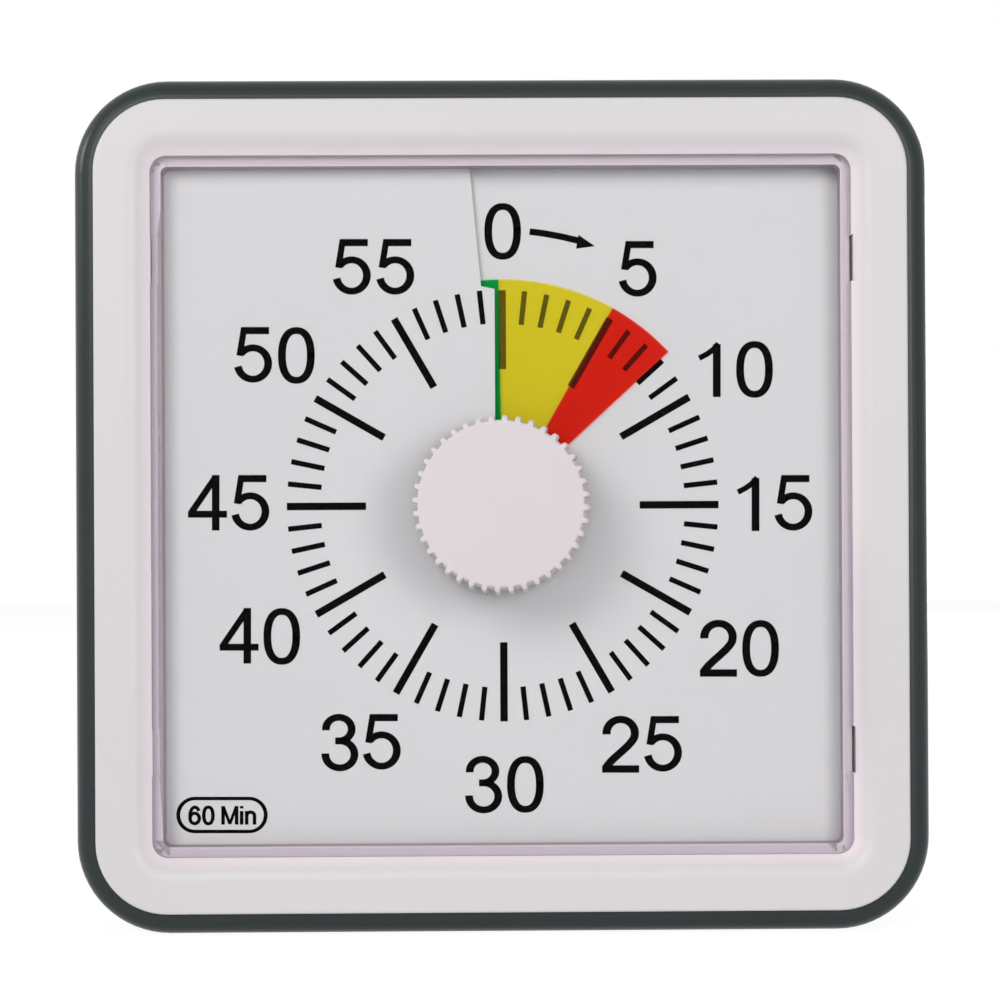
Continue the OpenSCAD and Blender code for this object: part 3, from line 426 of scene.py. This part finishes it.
# %% Finish a piece
def finish_piece(bm, name, body, material, stands_for=(), crisp=30):
    """Makes a bmesh in the dial's frame into a piece that rides on a body."""
    bmesh.ops.remove_doubles(bm, verts=bm.verts, dist=0.001 * MM)
    bmesh.ops.recalc_face_normals(bm, faces=bm.faces)
    bm.transform(stand_up)
    mesh = bpy.data.meshes.new(name)
    bm.to_mesh(mesh)
    bm.free()
    mesh.shade_smooth()
    mesh.set_sharp_from_angle(angle=radians(crisp))
    mesh.materials.append(material)
    piece = bpy.data.objects.new(name, mesh)
    bpy.context.scene.collection.objects.link(piece)
    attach(piece, body)
    if stands_for:
        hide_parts(*stands_for)
    print(name, len(mesh.polygons), "faces")


# %% [markdown]
# ## The card's spiral
# The card isn't flat. It climbs one pitch in a turn, like one turn of a very shallow screw, so
# that the film can pass from under its left side to over its right side. The pitch is taken from
# the height of the card's box, which is exact to a few hundredths of a millimetre. What is printed
# on the card is drawn flat first, and then each point is lifted to the card's height at its angle.

# %% Height of the card and of the film
CARD_T = 0.4 * MM          # thickness of the card
FILM_T = 0.25 * MM         # thickness of the film
SLIT_X = 1.56 * MM         # the slit's edge, left of the axis
SLIT_FAR = 5.3             # the slit's angle beyond the film, in degrees
SLIT_STEP = 49.2 * MM      # radius at which the slit steps to the left
INK_T = 0.03 * MM          # how far the ink stands on the card
pitch = card_high - card_low - CARD_T


def turn_of(x, y):
    """Clockwise angle from the top, counted from the slit, in degrees."""
    turn = degrees(atan2(x, y))
    reach = sqrt(x * x + y * y)
    slit = -SLIT_FAR if reach > SLIT_STEP else -degrees(asin(min(1, SLIT_X / max(reach, SLIT_X))))
    return turn + 360 if turn < slit - 0.01 else turn


def card_top(x, y):
    """Height of the card's printed face."""
    return card_low + CARD_T + pitch * (turn_of(x, y) + SLIT_FAR) / 360


def lift_onto_card(bm):
    """Moves each point up by the card's height where it is."""
    for v in bm.verts:
        v.co.z += card_top(v.co.x, v.co.y)


print("the card climbs about %.1f mm in a turn" % (pitch / MM))

# %% [markdown]
# ## The minute ticks
# Sixty ticks stand round the dial, and each fifth one is longer and wider. A tick is a thin bar
# of ink: a cube from bmesh, scaled, moved out along y and turned to its minute.

# %% Ticks
TICK_OUT = 48.6 * MM       # outer end of every tick
TICK_IN = 41.0 * MM        # inner end of a minute tick
LONG_TICK_IN = 30.8 * MM   # inner end of a five-minute tick
TICK_W = 1.2 * MM
LONG_TICK_W = 1.68 * MM
INK_DEPTH = 0.1 * MM       # how far the ink reaches into the card, so that no gap shows

bm = bmesh.new()
for minute in range(60):
    long = minute % 5 == 0
    inner, width = (LONG_TICK_IN, LONG_TICK_W) if long else (TICK_IN, TICK_W)
    place = (Matrix.Rotation(-radians(6 * minute), 4, "Z")
             @ Matrix.Translation((0, (inner + TICK_OUT) / 2, (INK_T - INK_DEPTH) / 2))
             @ Matrix.Diagonal((width, TICK_OUT - inner, INK_T + INK_DEPTH, 1)))
    bmesh.ops.create_cube(bm, size=1, matrix=place)
bmesh.ops.translate(bm, verts=bm.verts, vec=(*behind_pixel(*DIAL_PIXEL, card_high), 0))
lift_onto_card(bm)
finish_piece(bm, "minute_ticks", "case", ink)

# %% [markdown]
# ## Numerals, arrow and label
# The numerals are a plain grotesque face, whose strokes are drawn here as a signwriter does: a
# flat nib, a little wider across upright strokes than across level ones, runs along lines and
# arcs. Each stroke is a short edge that is extruded from point to point. A glyph is drawn in
# pixels of the picture, y downwards, in a cell of its own, and laid on the card through the
# camera, so every numeral lands where the picture has it.

# %% Strokes of the nib
NIB_W, NIB_H = 7.8, 6.9    # width of an upright and of a level stroke, in pixels


def arc(cx, cy, rx, ry, start, end, power=1.0, steps=None):
    """Points along part of an ellipse, angles in degrees anticlockwise from the right. A power
    below 1 makes its corners fuller."""
    steps = steps or max(6, round(abs(end - start) / 9))
    points = []
    for i in range(steps + 1):
        a = radians(start + (end - start) * i / steps)
        c, s = cos(a), sin(a)
        points.append((cx + rx * copysign(abs(c) ** power, c), cy - ry * copysign(abs(s) ** power, s)))
    return points


def stroke(bm, points, weight=1.0):
    """Extrudes a ribbon of ink along points. Where the points end where they began, it closes."""
    closed = hypot(points[0][0] - points[-1][0], points[0][1] - points[-1][1]) < 0.01
    edge = None
    for i, (x, y) in enumerate(points):
        before = points[i - 1] if i else points[-2] if closed else points[0]
        after = points[i + 1] if i + 1 < len(points) else points[1] if closed else points[-1]
        along = Vector((after[0] - before[0], after[1] - before[1])).normalized()
        across = Vector((along.y, -along.x, 0))
        across *= weight * hypot(NIB_W * across.x, NIB_H * across.y) / 2
        middle = Vector((x, y, 0))
        if edge is None:
            left, right = bm.verts.new(middle - across), bm.verts.new(middle + across)
            edge = bm.edges.new((left, right))
            continue
        grown = bmesh.ops.extrude_edge_only(bm, edges=[edge])["geom"]
        edge = next(g for g in grown if isinstance(g, bmesh.types.BMEdge)
                    and not {left, right} & set(g.verts))
        new = {}
        for v in edge.verts:
            new[next(e.other_vert(v) for e in v.link_edges if e.other_vert(v) in (left, right))] = v
        left, right = new[left], new[right]
        left.co, right.co = middle - across, middle + across


GLYPHS = {
    "0": [(1, arc(21.8, 28.4, 14.45, 24.9, 0, 360, 0.86, 40))],
    "1": [(1, [(27.6, 3), (27.6, 56)]), (0.78, [(29.3, 2.6), (24.3, 8.4), (17.6, 13.2), (9.9, 17.2)])],
    "2": [(1.06, arc(23.2, 17, 14.2, 13.6, 186, -30) + [(31, 29.2), (24.5, 35.3), (18.3, 40.7),
                                                    (13.3, 45.5), (9.6, 50), (8.2, 54)]),
          (1.07, [(4.6, 53), (41.7, 53)])],
    "3": [(1, arc(22.5, 15.1, 12.9, 11.8, 186, -90) + [(18.9, 26.9)]),
          (1, arc(23.6, 40.4, 14.6, 13.5, 90, -184))],
    "4": [(0.97, [(30.8, 0), (30.8, 55.5)]), (1, [(3.1, 39.2), (42.1, 39.2)]),
          (0.87, [(30.9, 1.8), (6.8, 37)])],
    "5": [(1.04, [(10, 3.6), (38, 3.6)]), (0.82, [(13, 1), (8.5, 28.8)]),
          (1, arc(21.8, 36.5, 15.3, 15.7, 142, -169))],
    "6": [(1, arc(21.8, 37.4, 14.6, 15.6, 0, 360)), (1, arc(22.4, 28.5, 15, 25, 32, 186))],
    "M": [(1, [(9, 0), (9, 56)]), (1, [(52, 0), (52, 56)]), (0.85, [(10, 2), (30.5, 54)]),
          (0.85, [(51, 2), (30.5, 54)])],
    "i": [(1, [(8, 15), (8, 56)]), (1, [(8, 0), (8, 7.5)])],
    "n": [(1, [(8, 15), (8, 56)]), (1, arc(20.4, 30, 12.4, 11.6, 180, 0) + [(32.8, 56)])]}
GLYPH_H = 56               # height of a glyph, in pixels
CELL = 43.5                # width of a numeral's cell, in pixels
CELLS = {"M": 60, "i": 16, "n": 40}


def write(bm, text, x, y, scale=(1, 1), bold=1.0):
    """Writes a text whose cells are centred on x and whose glyphs are centred on y, in pixels."""
    width = sum(CELLS.get(glyph, CELL) for glyph in text)
    pen = -width / 2
    for glyph in text:
        new = bmesh.new()
        for weight, points in GLYPHS[glyph]:
            stroke(new, points, weight * bold)
        bmesh.ops.translate(new, verts=new.verts, vec=(pen, -GLYPH_H / 2, 0))
        bmesh.ops.scale(new, verts=new.verts, vec=(*scale, 1))
        bmesh.ops.translate(new, verts=new.verts, vec=(x, y, 0))
        join(bm, new)
        pen += CELLS.get(glyph, CELL)


def join(target, part):
    """Adds one bmesh to another and frees it."""
    mesh = bpy.data.meshes.new("part")
    part.to_mesh(mesh)
    part.free()
    target.from_mesh(mesh)
    bpy.data.meshes.remove(mesh)


def print_on_card(bm, name):
    """Lays ribbons that are drawn in pixels on the card, and gives them the ink's thickness.
    Height and place depend on each other, and three rounds settle them."""
    for v in bm.verts:
        height = card_high
        for _ in range(3):
            x, y = behind_pixel(v.co.x, v.co.y, height)
            height = card_top(x, y)
        v.co = (x, y, height - INK_DEPTH)
    grown = bmesh.ops.extrude_face_region(bm, geom=bm.faces[:], use_keep_orig=True)["geom"]
    bmesh.ops.translate(bm, verts=[g for g in grown if isinstance(g, bmesh.types.BMVert)],
                        vec=(0, 0, INK_DEPTH + INK_T))
    finish_piece(bm, name, "case", ink)


# %% Numerals
NUMERALS = {0: (502.6, 231), 5: (637.4, 269), 10: (732.7, 369), 15: (771.4, 503), 20: (738.8, 648),
            25: (641, 744), 30: (503.6, 784), 35: (359.8, 742), 40: (260, 636), 45: (228.4, 503),
            50: (274.6, 355), 55: (373.3, 267)}     # pixel of each numeral's centre
bm = bmesh.new()
for minute, (x, y) in NUMERALS.items():
    write(bm, str(minute), x, y)
print_on_card(bm, "numerals")

# %% Arrow after the zero
ARROW = [(529.6, 231.6), (545, 233.6), (562, 236.8), (578, 240.6)]     # its line, in pixels
ARROW_W = 6.6 / NIB_H      # weight of its line
ARROW_HEAD = [(578.5, 234.8), (595, 246.2), (576, 248.8)]
bm = bmesh.new()
stroke(bm, ARROW, ARROW_W)
bm.faces.new([bm.verts.new((x, y, 0)) for x, y in ARROW_HEAD])
print_on_card(bm, "direction_arrow")

# %% Label with the timer's range
LABEL_X, LABEL_Y = 222, 815         # pixel of its centre
LABEL_W, LABEL_H = 87.5, 33         # size of its outline's middle line
LABEL_SCALE = (0.315, 0.332)        # size of its text beside the numerals
LABEL_LINE = 3.9 / NIB_W            # weight of its outline
LABEL_BOLD = 1.45                   # weight of its text
NUMBER_X, WORD_X = -20.5, 16.5      # middles of the number and of the word, from the centre
TEXT_DROP = 0.3                     # how far the text stands below the centre
end = (LABEL_W - LABEL_H) / 2
bm = bmesh.new()
for text, shift in (("60", NUMBER_X), ("Min", WORD_X)):
    write(bm, text, LABEL_X + shift, LABEL_Y + TEXT_DROP, LABEL_SCALE, LABEL_BOLD)
stroke(bm, arc(LABEL_X + end, LABEL_Y, LABEL_H / 2, LABEL_H / 2, -90, 90)
       + arc(LABEL_X - end, LABEL_Y, LABEL_H / 2, LABEL_H / 2, 90, 270)
       + [(LABEL_X + end, LABEL_Y + LABEL_H / 2)], LABEL_LINE)
print_on_card(bm, "range_label")

# %% [markdown]
# ## The film disc
# Nearly one turn of film rides on the knob's hub. Seen from the front its leading part is red, the
# next yellow and the long rest green. Each colour is its own piece: the film's thin section
# from the hub to the rim is spun about the axis while it climbs, which is what a screw does.

# %% Three colours of film
FILM_IN = 14 * MM          # radius of the hub that the film is fixed to
film_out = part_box("time_disc")[1].x - axis.x
film_span = (film_high - film_low - FILM_T) / pitch * 360      # degrees behind the set angle
SET_TURN = 46.02           # dial angle at which the model's film begins
LEAD = 1.4                 # how far the leading edge stands past that angle, in degrees
RED_TURN = 29.4            # dial angle where red meets yellow
GREEN_TURN = -0.8          # dial angle where yellow meets green


def film_piece(name, start, end, material):
    """A spiral strip of film from one dial angle to another."""
    steps = max(4, round(abs(end - start) / 3))
    low = film_low + pitch * (start - SET_TURN + film_span) / 360
    bm = bmesh.new()
    section = ((FILM_IN, low), (film_out, low), (film_out, low + FILM_T), (FILM_IN, low + FILM_T))
    row = [bm.verts.new((r, 0, z)) for r, z in section]
    loop = bm.faces.new(row)
    bmesh.ops.spin(bm, geom=list(loop.edges) + row + [loop], cent=(0, 0, 0), axis=(0, 0, -1),
                   angle=radians(end - start), steps=steps,
                   dvec=(0, 0, pitch * (end - start) / 360 / steps))
    bmesh.ops.rotate(bm, verts=bm.verts, matrix=Matrix.Rotation(radians(90 - start), 3, "Z"))
    finish_piece(bm, name, "disc", material, ["time_disc"])


film_piece("film_red", RED_TURN, SET_TURN + LEAD, film_red)
film_piece("film_yellow", GREEN_TURN, RED_TURN, film_yellow)
film_piece("film_green", SET_TURN - film_span, GREEN_TURN, film_green)
print("film radius %.1f mm, drawn over %.0f degrees" % (film_out / MM, film_span + LEAD))

# %% [markdown]
# ## Snap tabs of the window
# Four tabs hold the window in the bezel, and a relief notch is cut in the slope beside each. In the
# picture the notches on the left are closed, and on the right, where the window sits a little to
# the left in its seat, a thin dark line stays open. So each notch gets a plug in the bezel's white
# whose top follows the slope: on the right it is narrower, and a low step closes the gap's floor.
# Under the window a thin bar closes the slot that each tab reaches through.

# %% Plugs in the notches, and bars in the slots
NOTCH_IN, NOTCH_OUT = 77.75 * MM, 78.65 * MM    # sides of a notch, from the axis
SLOT_IN = 76.3 * MM                             # inner side of the slot below it
window_low = window_high - WINDOW_T
BAR_T = 0.3 * MM                                # thickness of a bar
GAP_W = 0.57 * MM                               # width of the open line on the right
GAP_DEPTH = 3.4 * MM                            # how deep it is below the window's face
PLUG_FOOT = 0.5 * MM                            # how far a plug reaches below that depth
TAB_L = 10.34 * MM                              # length of a tab along the side
TAB_Y = 54.7 * MM                               # middle of a tab, above or below the axis
SLOPE = radians(35)                             # angle of the slope
slope_foot = window_high + 0.1 * MM
HAIR = 0.02 * MM                                # keeps two faces out of one plane


def plug(bm, side, level, inner, outer, top=None):
    """Fills a notch from inner to outer, with a level top or one that follows the slope."""
    low = window_high - GAP_DEPTH - PLUG_FOOT
    highs = [top or slope_foot + (x - NOTCH_IN) * tan(SLOPE) for x in (inner, outer)]
    profile = [(inner, low), (outer, low), (outer, highs[1]), (inner, highs[0])]
    start = level * TAB_Y - TAB_L / 2
    section = bm.faces.new([bm.verts.new((side * x, start, z)) for x, z in profile])
    grown = bmesh.ops.extrude_face_region(bm, geom=[section], use_keep_orig=True)["geom"]
    bmesh.ops.translate(bm, verts=[g for g in grown if isinstance(g, bmesh.types.BMVert)],
                        vec=(0, TAB_L, 0))


bm = bmesh.new()
for level in (-1, 1):
    plug(bm, -1, level, NOTCH_IN, NOTCH_OUT)
    plug(bm, 1, level, NOTCH_IN + GAP_W, NOTCH_OUT)
    plug(bm, 1, level, NOTCH_IN, NOTCH_IN + GAP_W, window_high - GAP_DEPTH)
    for side in (-1, 1):
        middle = (side * (SLOT_IN + NOTCH_IN) / 2, level * TAB_Y, window_low - BAR_T / 2 - HAIR)
        bmesh.ops.create_cube(bm, size=1, matrix=Matrix.Translation(middle)
                              @ Matrix.Diagonal((NOTCH_IN - SLOT_IN, TAB_L, BAR_T, 1)))
finish_piece(bm, "snap_tab_faces", "case", bezel_abs_painted_light)

# %% [markdown]
# ## The knob
# The knob is a hollow cap with forty small ribs and a soft rounded rim. Its side is drawn as
# rings of points: each ring is pushed out where a rib passes, and the ribs fade into the rim.

# %% Knob
RIBS = 40
RIB_H = 1.05 * MM
RIB_W = 1.35 * MM
RIB_FULLNESS = 3.6         # 2 gives a half-round rib, and more a flatter tip
RIB_TURN = radians(2.7)    # how far the first rib stands past the zero
KNOB_R = 19 * MM           # radius between the ribs, at the card
KNOB_DRAFT = 1 * MM        # how much less it is at the top
KNOB_EDGE = 0.6 * MM       # radius of the rounded rim
KNOB_DOME = 0.35 * MM      # how far the top face is domed
KNOB_WALL = 2 * MM
PER_RIB = 24               # points round the knob for each rib
SIDE_RINGS, EDGE_RINGS, TOP_RINGS = 6, 8, 6


def rib_out(angle):
    """How far a rib stands out at an angle: a flat tip with rounded corners."""
    step = 2 * pi / RIBS
    off = abs((angle + step / 2) % step - step / 2) * KNOB_R
    half = RIB_W / 2
    return RIB_H * sqrt(max(0, 1 - (off / half) ** RIB_FULLNESS)) if off < half else 0


def knob_ring(verts, radius, z, ribbed):
    """Moves points to a ring. ribbed is 1 for full ribs and 0 for none."""
    for v in verts:
        angle = atan2(v.co.y, v.co.x)
        reach = radius + ribbed * rib_out(angle + RIB_TURN)
        v.co = (reach * cos(angle), reach * sin(angle), z)


bm = bmesh.new()
first = bmesh.ops.create_circle(bm, segments=RIBS * PER_RIB, radius=KNOB_R)["verts"]
rings = []
side_top = knob_high - KNOB_DOME - KNOB_EDGE
for i in range(SIDE_RINGS + 1):
    f = i / SIDE_RINGS
    rings.append((KNOB_R - KNOB_DRAFT * f, knob_low + (side_top - knob_low) * f, 1))
for i in range(1, EDGE_RINGS + 1):
    a = radians(90 * i / EDGE_RINGS)
    rings.append((KNOB_R - KNOB_DRAFT - KNOB_EDGE * (1 - cos(a)), side_top + KNOB_EDGE * sin(a),
                  max(0, cos(a)) ** 0.5))
flat_r = KNOB_R - KNOB_DRAFT - KNOB_EDGE
for i in range(1, TOP_RINGS + 1):
    f = i / (TOP_RINGS + 0.5)
    rings.append((flat_r * (1 - f), knob_high - KNOB_DOME * (1 - f) ** 2, 0))
inner_r = KNOB_R - KNOB_WALL
knob_ring(first, *rings[0])
edges = start_edges = list({e for v in first for e in v.link_edges})
for radius, z, ribbed in rings[1:]:
    new = bmesh.ops.extrude_edge_only(bm, edges=edges)["geom"]
    knob_ring([g for g in new if isinstance(g, bmesh.types.BMVert)], radius, z, ribbed)
    edges = [g for g in new if isinstance(g, bmesh.types.BMEdge) and
             all(abs(v.co.z - z) < 1e-7 for v in g.verts)]
bmesh.ops.contextual_create(bm, geom=edges)
edges = start_edges
for radius, z in ((inner_r, knob_low), (inner_r - KNOB_DRAFT, knob_high - KNOB_WALL - KNOB_DOME)):
    new = bmesh.ops.extrude_edge_only(bm, edges=edges)["geom"]
    new_verts = [g for g in new if isinstance(g, bmesh.types.BMVert)]
    knob_ring(new_verts, radius, z, 0)
    edges = [g for g in new if isinstance(g, bmesh.types.BMEdge) and
             all(v in new_verts for v in g.verts)]
bmesh.ops.contextual_create(bm, geom=edges)
finish_piece(bm, "knob_cap", "dial", knob_abs, ["knob"], crisp=40)

# %% [markdown]
# ## Floor and backdrop
# The timer stands on a pale floor before a white backdrop, which is the world itself. Light Path
# tells rays apart: the camera sees pure white, and so do glossy and transmitted rays, so that
# metal and clear plastic show that background too. All other rays meet a dim pale world, and the
# lamps do the lighting. The floor mixes a plain white with a share of its own light, so that the
# timer's shadow stays on it.

# %% World, floor and backdrop
WHITE = "#FFFFFF"


def seen_directly(material):
    """A socket that is 1 for a camera, glossy or transmission ray and 0 for any other."""
    path = add_node(material, "ShaderNodeLightPath")
    either = add_node(material, "ShaderNodeMath", {"operation": "MAXIMUM"}, {
        0: path.outputs["Is Camera Ray"], 1: path.outputs["Is Glossy Ray"]})
    return add_node(material, "ShaderNodeMath", {"operation": "MAXIMUM"}, {
        0: either.outputs[0], 1: path.outputs["Is Transmission Ray"]}).outputs[0]


world = bpy.data.worlds.new("studio")
bpy.context.scene.world = world
world.use_nodes = True
world.node_tree.nodes.clear()
seen = seen_directly(world)
plain = add_node(world, "ShaderNodeBackground", {"Color": colour("#F4F5F8"), "Strength": 0.14})
bright = add_node(world, "ShaderNodeBackground", {"Color": colour(WHITE), "Strength": 1.0})
mixed = add_node(world, "ShaderNodeMixShader", links={0: seen, 1: plain.outputs[0],
                                                     2: bright.outputs[0]})
add_node(world, "ShaderNodeOutputWorld", links={"Surface": mixed.outputs[0]})

FLOOR_SHARE = 0.2          # how much of the floor's own light and shadow the camera sees
FLOOR_HALF = 3             # half the floor's width, in metres
floor_paint = new_material("matt floor paint")[0]
seen = seen_directly(floor_paint)
own = add_node(floor_paint, "ShaderNodeBsdfPrincipled",
               {"Base Color": colour("#F2F3F5"), "Roughness": 0.7})
glow = add_node(floor_paint, "ShaderNodeEmission", {"Color": colour(WHITE), "Strength": 1.15})
toned = add_node(floor_paint, "ShaderNodeMixShader", {0: FLOOR_SHARE},
                 {1: glow.outputs[0], 2: own.outputs[0]})
shown = add_node(floor_paint, "ShaderNodeMixShader", links={0: seen, 1: own.outputs[0],
                                                           2: toned.outputs[0]})
output(floor_paint, shown.outputs[0])

bm = bmesh.new()
bmesh.ops.create_grid(bm, x_segments=2, y_segments=2, size=FLOOR_HALF)
mesh = bpy.data.meshes.new("floor")
bm.to_mesh(mesh)
bm.free()
mesh.materials.append(floor_paint)
floor = bpy.data.objects.new("floor", mesh)
floor.location.z = cad_box[0][2] - HAIR
bpy.context.scene.collection.objects.link(floor)

# %% [markdown]
# ## Lamps
# The picture is lit softly from the front: a broad key lamp at the upper left, a weaker one at the
# right and a faint one above. They stand far off, so the card is lit evenly, and to the sides, so
# the window doesn't mirror them. A small lamp at the left shines along the bezel's slopes, and one
# behind the timer lights its back in other views. Places and sizes are in metres.

# %% Area lamps
def lamp(name, place, size, watts):
    """A square area lamp that faces the dial."""
    data = bpy.data.lights.new(name, "AREA")
    data.size = size
    data.energy = watts
    light = bpy.data.objects.new(name, data)
    light.location = place
    light.rotation_euler = (axis - Vector(place)).to_track_quat("-Z", "Y").to_euler()
    bpy.context.scene.collection.objects.link(light)


lamp("key lamp, upper left", (-1.1, -2.5, 1.1), 1.2, 28.2)
lamp("fill lamp, right", (1.1, -2.5, 0.5), 1.0, 20.5)
lamp("top lamp", (0.1, -2.3, 1.35), 0.9, 4.8)
lamp("side lamp, left", (-1.1, -0.1, 0.55), 0.3, 3)
lamp("rear lamp", (0.8, 2.2, 0.4), 0.9, 14)
